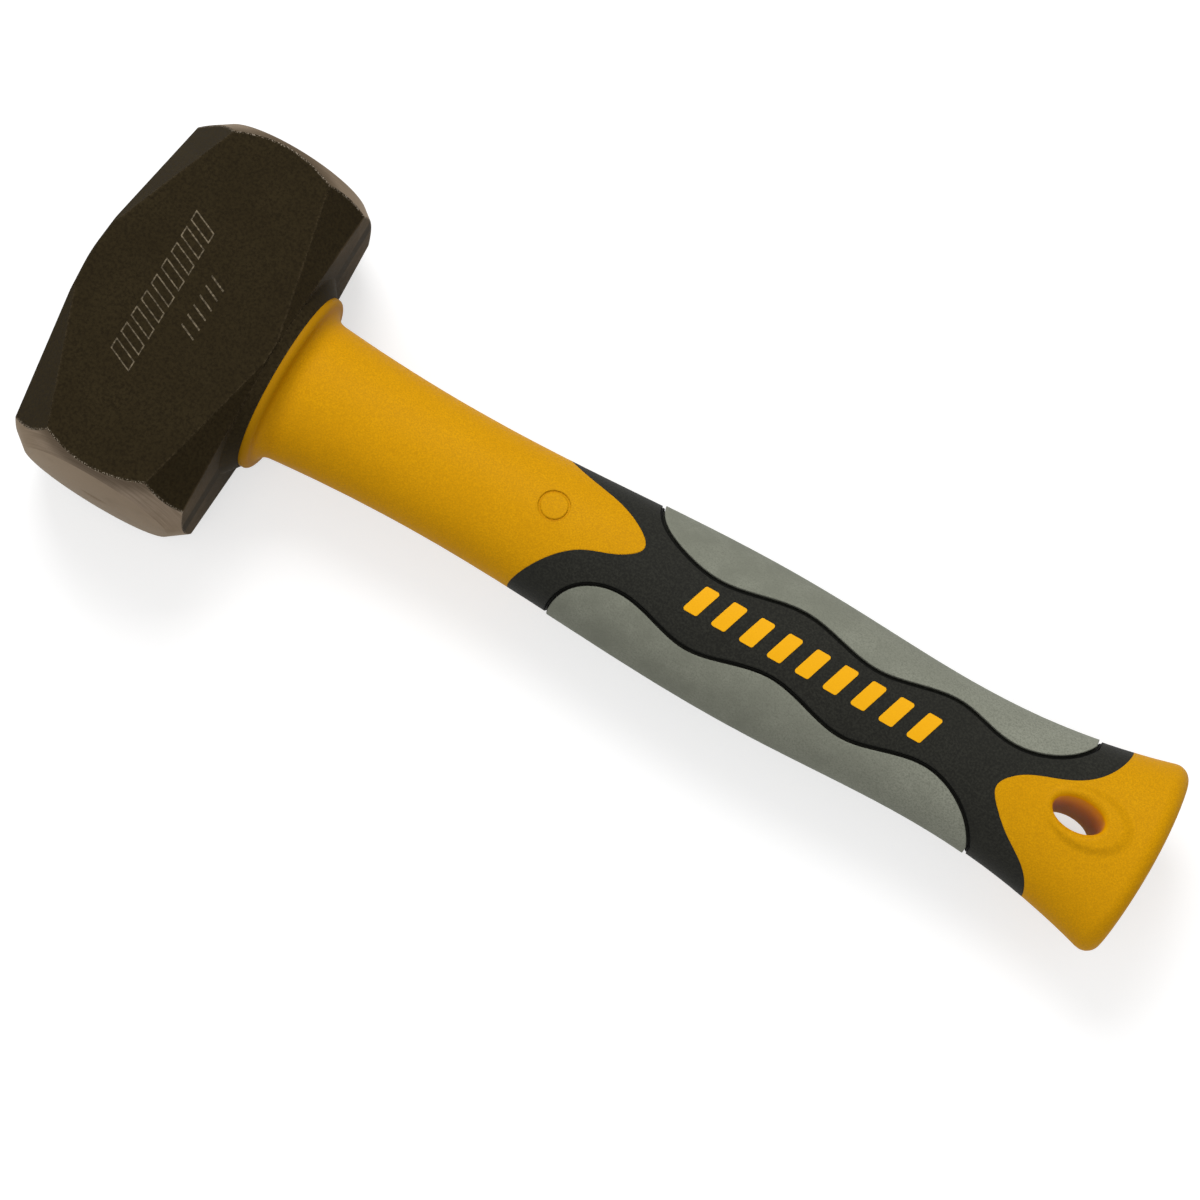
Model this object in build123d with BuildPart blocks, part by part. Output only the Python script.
"""Club hammer: a forged steel head potted on a fibreglass core, a plastic jacket moulded round the
core, and a rubber grip with two softer pads and a row of inlaid bars on each side.

Frame, in millimetres: +X runs along the handle from the head to the butt, +Y along the striking
axis, and +Z up, square to the cheek that the hammer lies on. The origin is on that cheek, straight
below the centre of the eye.
"""

from build123d import *
from math import cos, pi, radians, sin, sqrt, tan
import os

os.makedirs("parts", exist_ok=True)

# Head: a bar with a ridge across its top, cut at its corners, turned at its faces, with a boss
# round the eye on its flat underside
head_thickness = 40.4  # cheek to cheek
top_rim = 22.4  # from the eye's centre up to the top, at a striking face's rim
top_ridge = 26.0  # the same in the middle, where the two top slopes meet
ridge_radius = 40.0
top_edge_radius = 1.6  # along the top edges of both cheeks
underside = 21.6  # from the eye's centre down to the underside
boss_foot = (52.0, 39.2)  # along Y, along Z
boss_height = 2.8
boss_root = 8.0  # how far the boss reaches into the bar
face_rim_y = 44.2  # from the eye's centre to the rim of a striking face
face_rim_radius = 18.8
face_crown = 1.0  # how far the middle of a face stands out past its rim
turned_angle = 38.5  # degrees between the turned edge and the face
turned_edge_radius = 0.4  # along both sides of the turned edge
corner_lean = 42.0  # degrees that the corner cuts lean, from facing along X towards facing up
top_corner_depth = 8.6  # at a face's rim, square to the cut
top_corner_slope = 15.8  # degrees that the cut rises by as it leaves the face
under_corner_depth = 7.2
under_corner_slope = 9.8
corner_bend_radius = 12.0  # where the cuts from both faces meet

# Eye: an oval hole along the handle, narrowest in the middle
eye_waist = (23.4, 17.0)  # along Y, along Z
eye_mouth = (25.4, 18.8)
eye_lip = 0.7  # chamfer of the mouth in the top
eye_overrun = 2.0  # the cutter's travel past each mouth

# Core and the resin that holds it in the eye, both short of the head's top ridge
core_size = (20.0, 13.4)
core_top_gap = 1.6
core_hole_gap = 14.8  # from the core's end to the hang hole
resin_top_gap = 1.9

# Jacket: the body of the handle. Each pair is a half height along Y and a half thickness along Z.
neck_root = (18.0, 14.8)
neck_waist = (15.6, 13.2)
palm_swell = (18.55, 13.6)
tail_waist = (16.85, 12.9)
butt_flare = (25.3, 14.9)
neck_length = 68.0  # from the eye's centre to the neck's waist
palm_length = 78.0  # from there to the palm swell
tail_length = 50.0  # from there to the tail's waist
butt_length = 51.6  # from there to the end
section_count = 14
butt_crown_radius = 200.0  # of the butt's end, seen square to the cheeks
butt_edge_radius = 3.6
collar_lip = 4.2  # how far the collar stands out from the neck
collar_thickness = 1.9
collar_fillet = 3.4
collar_edge_radius = 1.2
spigot_depth = 5.0  # how far the jacket reaches into the eye
spigot_clearance = 0.1
hang_hole_inset = 19.6  # from the handle's end to the hole's centre
hang_hole_size = (12.4, 7.2)
hang_hole_rim = 1.5

# Ring sunk in the neck, as a mould insert leaves
ring_offset = (25.0, 2.6)  # from the neck's waist
ring_radius = 3.7
ring_width = 0.6
ring_depth = 0.3

# Grip: a rubber sleeve let into the jacket, which runs into it as a tongue at each end. Each
# tongue's outline goes from +Y round its tip to -Y, measured from the tip.
grip_thickness = 2.4
head_tongue_tip = (47.3, 4.1)  # from the neck's waist
head_tongue = [
    (-26.8, 12.5), (-14.3, 8.2), (-3.8, 4.3), (0, 0),
    (-2.9, -3.3), (-11.8, -7.1), (-20.3, -15.0), (-24.8, -22.6),
]
butt_tongue_tip = (-18.9, -3.4)  # from the hang hole
butt_tongue = [
    (23.5, 23.4), (21.5, 16.6), (18.4, 12.5), (11.8, 8.5), (1.8, 3.3),
    (0, 0), (2.3, -3.8), (7.4, -8.1), (14.2, -12.6), (17.2, -16.5),
]

# Pads let into the sleeve, on both sides of a wavy panel, with a channel along their edges
panel_half_width = 8.8
panel_center_y = -0.5
wave_height = 1.75
wave_length = 40.0
wave_offset = 8.0  # from the palm swell to the wave's second turn
wave_turn_count = 4
pad_depth = 1.4
pad_proud = 0.35
channel_width = 1.0
channel_depth = 0.9
upper_pad_head_end = [(-20.0, 10.6), (-17.8, 6.2), (-11.6, 2.4)]  # from the wave's first turn
upper_pad_butt_end = [(12.5, -2.8), (25.3, 0.7), (30.5, 6.8)]  # from its last turn
lower_pad_head_end = [(-31.6, -6.0), (-27.9, 0.2), (-19.5, 3.4)]
lower_pad_butt_end = [(10.4, -3.8), (16.1, -9.6)]

# Bars inlaid in the panel
bar_count = 9
bar_pitch = 7.1
bar_width = 3.7
bar_height = 7.2
bar_slant = 18.0  # degrees
bar_corner_radius = 0.6
bar_offset = 14.7  # from the palm swell to the middle bar
bar_depth = 0.8
bar_proud = 0.1

# Places that follow from the sizes
mid_z = head_thickness / 2
middle_plane = Plane.XY.offset(mid_z)
neck_waist_x = neck_length
palm_swell_x = neck_waist_x + palm_length
tail_waist_x = palm_swell_x + tail_length
handle_end = tail_waist_x + butt_length
hang_hole_x = handle_end - hang_hole_inset
core_end = hang_hole_x - hang_hole_size[0] / 2 - core_hole_gap
side_reach = 2 * max(palm_swell[0], butt_flare[0])  # takes an outline clear of the handle


def across(x):
    """The plane square to the handle at x: its own x is +Y, and its own y is +Z."""
    return Plane(origin=(x, 0, mid_z), x_dir=(0, 1, 0), z_dir=(1, 0, 0))


def blend(start, end, share):
    return tuple(a + (b - a) * share for a, b in zip(start, end))


top_slope = (top_ridge - top_rim) / face_rim_y
top_x = ridge_radius * (sqrt(1 + top_slope**2) - 1) - top_ridge
collar_x = underside + boss_height
collar_size = (neck_root[0] + collar_lip, neck_root[1] + collar_lip)

# Head blank: the bar, its corner cuts, its turned faces and its boss
bar_end = face_rim_y + 2 * face_crown
turned_radius = sqrt(top_ridge**2 + mid_z**2) + face_crown
turned_y = face_rim_y - (turned_radius - face_rim_radius) * tan(radians(turned_angle))
lean = radians(corner_lean)


def corner_cutter(height, depth, slope):
    """Cuts one long corner of the bar, from both faces to the middle."""
    rise = tan(radians(slope))
    at_rim = height * cos(lean) + mid_z * sin(lean) - depth
    at_end = at_rim - (bar_end - face_rim_y) * rise
    in_middle = at_rim + face_rim_y * rise
    top = in_middle + mid_z
    with BuildPart() as cutter:
        with BuildSketch(Plane(origin=(0, 0, mid_z), x_dir=(0, 1, 0), z_dir=(sin(lean), 0, -cos(lean)))):
            with BuildLine():
                Polyline(
                    (bar_end, at_end), (0, in_middle), (-bar_end, at_end),
                    (-bar_end, top), (bar_end, top),
                    close=True,
                )
            make_face()
            fillet(vertices().group_by(Axis.X)[1], radius=corner_bend_radius)
        extrude(amount=mid_z, both=True)
    return cutter.part


top_cutter = corner_cutter(top_rim, top_corner_depth, top_corner_slope).mirror(Plane.YZ)
under_cutter = corner_cutter(underside, under_corner_depth, under_corner_slope)
top_end_height = top_rim - (bar_end - face_rim_y) * top_slope

with BuildPart() as head_blank:
    with BuildSketch():
        with BuildLine():
            Polyline(
                (-top_end_height, bar_end),
                (-top_ridge, 0),
                (-top_end_height, -bar_end),
                (underside, -bar_end),
                (underside, bar_end),
                close=True,
            )
        make_face()
        fillet(vertices().group_by(Axis.Y)[1], radius=ridge_radius)
    extrude(amount=head_thickness)
    cheek_edges = edges().filter_by(Plane.XY)
    top_edges = cheek_edges.filter_by_position(Axis.X, -top_ridge, -top_end_height)
    fillet(top_edges, radius=top_edge_radius)
    for cutter in (top_cutter, under_cutter):
        add(cutter, mode=Mode.SUBTRACT)
        add(cutter.mirror(middle_plane), mode=Mode.SUBTRACT)
    with BuildSketch(middle_plane):
        with BuildLine():
            TangentArc(
                (0, face_rim_y + face_crown), (face_rim_radius, face_rim_y), tangent=(1, 0)
            )
            Polyline((face_rim_radius, face_rim_y), (turned_radius, turned_y), (turned_radius, 0))
            mirror(about=Plane.XZ)
            Line((0, face_rim_y + face_crown), (0, -face_rim_y - face_crown))
        make_face()
    revolve(axis=Axis((0, 0, mid_z), (0, 1, 0)), mode=Mode.INTERSECT)
    turned_edges = faces().filter_by(GeomType.CONE).edges()
    fillet(turned_edges.filter_by(GeomType.LINE, reverse=True), radius=turned_edge_radius)
    for x in (underside - boss_root, underside):
        with BuildSketch(across(x)):
            Ellipse(boss_foot[0] / 2, boss_foot[1] / 2)
    with BuildSketch(across(collar_x)):
        Ellipse(*collar_size)
    loft(ruled=True)


# Eye and what fills it
def eye_half(x):
    """The eye's half height and half thickness at x."""
    mouth_x = top_x if x < 0 else collar_x
    return tuple(size / 2 for size in blend(eye_waist, eye_mouth, x / mouth_x))


def eye_shape(start, end, gap=0.0):
    """The space inside the eye between two places, less a gap all round."""
    stations = [start, 0, end] if start < 0 < end else [start, end]
    with BuildPart() as shape:
        for x in stations:
            half_height, half_thickness = eye_half(x)
            with BuildSketch(across(x)):
                Ellipse(half_height - gap, half_thickness - gap)
        loft(ruled=True)
    return shape.part


with BuildPart() as head:
    add(head_blank.part)
    add(eye_shape(top_x - eye_overrun, collar_x + eye_overrun), mode=Mode.SUBTRACT)
    chamfer(edges(Select.LAST).sort_by(Axis.X)[0], length=eye_lip)
head.part.label = "head"
export_step(head.part, "parts/head.step")

with BuildPart() as core_rod:
    with BuildSketch(across(top_x + core_top_gap)):
        SlotOverall(core_size[0], core_size[1])
    extrude(amount=core_end - top_x - core_top_gap)
core_rod.part.label = "core_rod"
export_step(core_rod.part, "parts/core_rod.step")

spigot_x = collar_x - spigot_depth
with BuildPart() as eye_epoxy:
    add(eye_shape(top_x + resin_top_gap, spigot_x))
    add(core_rod.part, mode=Mode.SUBTRACT)
eye_epoxy.part.label = "eye_epoxy"
export_step(eye_epoxy.part, "parts/eye_epoxy.step")


# Handle: one shape, moved out or in for everything that lies on its skin
def handle_section(x):
    """The handle's half height and half thickness at x."""
    if x < neck_waist_x:
        share = (neck_waist_x - x) / (neck_waist_x - collar_x)
        return blend(neck_waist, neck_root, share**2)
    if x < palm_swell_x:
        share = (x - neck_waist_x) / palm_length
        return blend(neck_waist, palm_swell, (1 - cos(pi * share)) / 2)
    if x < tail_waist_x:
        share = (x - palm_swell_x) / tail_length
        return blend(palm_swell, tail_waist, (1 - cos(pi * share)) / 2)
    share = (x - tail_waist_x) / butt_length
    return blend(tail_waist, butt_flare, share**2)


def handle_shape(grow):
    """The whole handle with its skin moved outwards by a distance."""
    with BuildPart() as shape:
        for i in range(section_count):
            x = collar_x + (handle_end - collar_x) * i / (section_count - 1)
            half_height, half_thickness = handle_section(x)
            with BuildSketch(across(x)):
                Ellipse(half_height + grow, half_thickness + grow)
        loft()
    return shape.part


def space_over(outline, depth):
    """All that lies within an outline and over a floor sunk into the handle's skin."""
    with BuildPart() as space:
        with BuildSketch(middle_plane):
            add(outline)
        extrude(amount=side_reach, both=True)
        add(handle_shape(-depth), mode=Mode.SUBTRACT)
    return space.part


def moved(points, anchor):
    return [(x + anchor[0], y + anchor[1]) for x, y in points]


handle_skin = handle_shape(0)

# Outlines of the grip, seen square to the cheeks
head_boundary = moved(moved(head_tongue, head_tongue_tip), (neck_waist_x, 0))
butt_boundary = moved(moved(butt_tongue, butt_tongue_tip), (hang_hole_x, 0))
with BuildSketch() as grip_outline:
    with BuildLine():
        Spline(*head_boundary)
        Polyline(
            head_boundary[-1],
            (head_boundary[-1][0], -side_reach),
            (butt_boundary[-1][0], -side_reach),
            butt_boundary[-1],
        )
        Spline(*butt_boundary)
        Polyline(
            butt_boundary[0],
            (butt_boundary[0][0], side_reach),
            (head_boundary[0][0], side_reach),
            head_boundary[0],
        )
    make_face()


def side_outline(points, side):
    """A curve with both of its ends run out past the handle's edge, at +Y or at -Y."""
    with BuildSketch() as outline:
        with BuildLine():
            Spline(*points)
            Polyline(
                points[-1],
                (points[-1][0], side * side_reach),
                (points[0][0], side * side_reach),
                points[0],
            )
        make_face()
    return outline.sketch


def beside(points, distance):
    """Points along the curve through some points, moved to its left by a distance."""
    curve = Spline(*points)
    count = 2 * len(points)
    shifted = []
    for i in range(count + 1):
        place = curve @ (i / count) + (curve % (i / count)).rotate(Axis.Z, 90) * distance
        shifted.append((place.X, place.Y))
    return shifted


def pad_edge(side, head_end, butt_end):
    """The edge of a pad along the panel, which turns at each half wave."""
    turns = []
    for i in range(wave_turn_count):
        turn_x = palm_swell_x + wave_offset + (i - 1) * wave_length / 2
        turn_y = panel_center_y - wave_height * (-1) ** i + side * panel_half_width
        turns.append((turn_x, turn_y))
    return moved(head_end, turns[0]) + turns + moved(butt_end, turns[-1])


upper_edge = pad_edge(1, upper_pad_head_end, upper_pad_butt_end)
lower_edge = pad_edge(-1, lower_pad_head_end, lower_pad_butt_end)
upper_channel = side_outline(beside(upper_edge, -channel_width), 1)
lower_channel = side_outline(beside(lower_edge, channel_width), -1)

# Grip: the sleeve, the pads and the bars
grip_space = space_over(grip_outline.sketch, grip_thickness)
upper_pad_space = space_over(side_outline(upper_edge, 1), pad_depth)
lower_pad_space = space_over(side_outline(lower_edge, -1), pad_depth)
pad_skin = handle_shape(pad_proud)

bar_center_x = palm_swell_x + bar_offset
bar_row = bar_pitch * bar_count
bar_shift = bar_height / 2 * tan(radians(bar_slant))
bar_skin_z = min(handle_section(bar_center_x + end * bar_row / 2)[1] for end in (-1, 1))
with BuildPart() as bar_space:
    with BuildSketch(middle_plane.offset(bar_skin_z - bar_depth)):
        with Locations((bar_center_x, 0)):
            with GridLocations(bar_pitch, 1, bar_count, 1):
                Polygon(
                    (-bar_width / 2 - bar_shift, -bar_height / 2),
                    (bar_width / 2 - bar_shift, -bar_height / 2),
                    (bar_width / 2 + bar_shift, bar_height / 2),
                    (-bar_width / 2 + bar_shift, bar_height / 2),
                )
        fillet(vertices(), radius=bar_corner_radius)
    extrude(amount=side_reach)

with BuildPart() as grip_sleeve:
    add(grip_space)
    add(handle_skin, mode=Mode.INTERSECT)
    add(upper_pad_space, mode=Mode.SUBTRACT)
    add(lower_pad_space, mode=Mode.SUBTRACT)
    add(space_over(upper_channel, channel_depth), mode=Mode.SUBTRACT)
    add(space_over(lower_channel, channel_depth), mode=Mode.SUBTRACT)
    add(bar_space.part, mode=Mode.SUBTRACT)
    add(bar_space.part.mirror(middle_plane), mode=Mode.SUBTRACT)
grip_sleeve.part.label = "grip_sleeve"
export_step(grip_sleeve.part, "parts/grip_sleeve.step")

with BuildPart() as grip_pad_upper:
    add(upper_pad_space)
    add(pad_skin, mode=Mode.INTERSECT)
grip_pad_upper.part.label = "grip_pad_upper"
export_step(grip_pad_upper.part, "parts/grip_pad_upper.step")

with BuildPart() as grip_pad_lower:
    add(lower_pad_space)
    add(pad_skin, mode=Mode.INTERSECT)
grip_pad_lower.part.label = "grip_pad_lower"
export_step(grip_pad_lower.part, "parts/grip_pad_lower.step")

with BuildPart() as grip_marks_front:
    add(bar_space.part)
    add(handle_shape(bar_proud), mode=Mode.INTERSECT)
grip_marks_front.part.label = "grip_marks_front"
export_step(grip_marks_front.part, "parts/grip_marks_front.step")

with BuildPart() as grip_marks_back:
    add(grip_marks_front.part.mirror(middle_plane))
grip_marks_back.part.label = "grip_marks_back"
export_step(grip_marks_back.part, "parts/grip_marks_back.step")

# Jacket: the handle, with its collar and spigot, less what the core and the grip take
with BuildPart() as ring_space:
    with BuildSketch(middle_plane):
        with Locations((neck_waist_x + ring_offset[0], ring_offset[1])):
            Circle(ring_radius)
            Circle(ring_radius - ring_width, mode=Mode.SUBTRACT)
    extrude(amount=side_reach)
    add(handle_shape(-ring_depth), mode=Mode.SUBTRACT)

collar_back = collar_x + collar_thickness
with BuildPart() as handle_jacket:
    add(handle_skin)
    with BuildSketch():
        with Locations(Location((handle_end - butt_crown_radius, 0), 180)):
            Circle(butt_crown_radius)
    extrude(amount=head_thickness, mode=Mode.INTERSECT)
    fillet(edges().group_by(Axis.X)[-1], radius=butt_edge_radius)
    with BuildSketch():
        with Locations((hang_hole_x, 0)):
            Ellipse(hang_hole_size[0] / 2, hang_hole_size[1] / 2)
    extrude(amount=head_thickness, mode=Mode.SUBTRACT)
    fillet(edges(Select.LAST).filter_by(GeomType.LINE, reverse=True), radius=hang_hole_rim)
    with BuildSketch(across(collar_x)):
        Ellipse(*collar_size)
    extrude(amount=collar_thickness)
    back_edges = edges().filter_by_position(Axis.X, collar_back, collar_back)
    junction, rim = back_edges.sort_by(SortBy.LENGTH)
    fillet(rim, radius=collar_edge_radius)
    fillet(junction, radius=collar_fillet)
    add(eye_shape(spigot_x, collar_back, spigot_clearance))
    add(core_rod.part, mode=Mode.SUBTRACT)
    add(grip_space, mode=Mode.SUBTRACT)
    add(ring_space.part, mode=Mode.SUBTRACT)
handle_jacket.part.label = "handle_jacket"
export_step(handle_jacket.part, "parts/handle_jacket.step")

print("head volume, cubic mm:", round(head.part.volume))
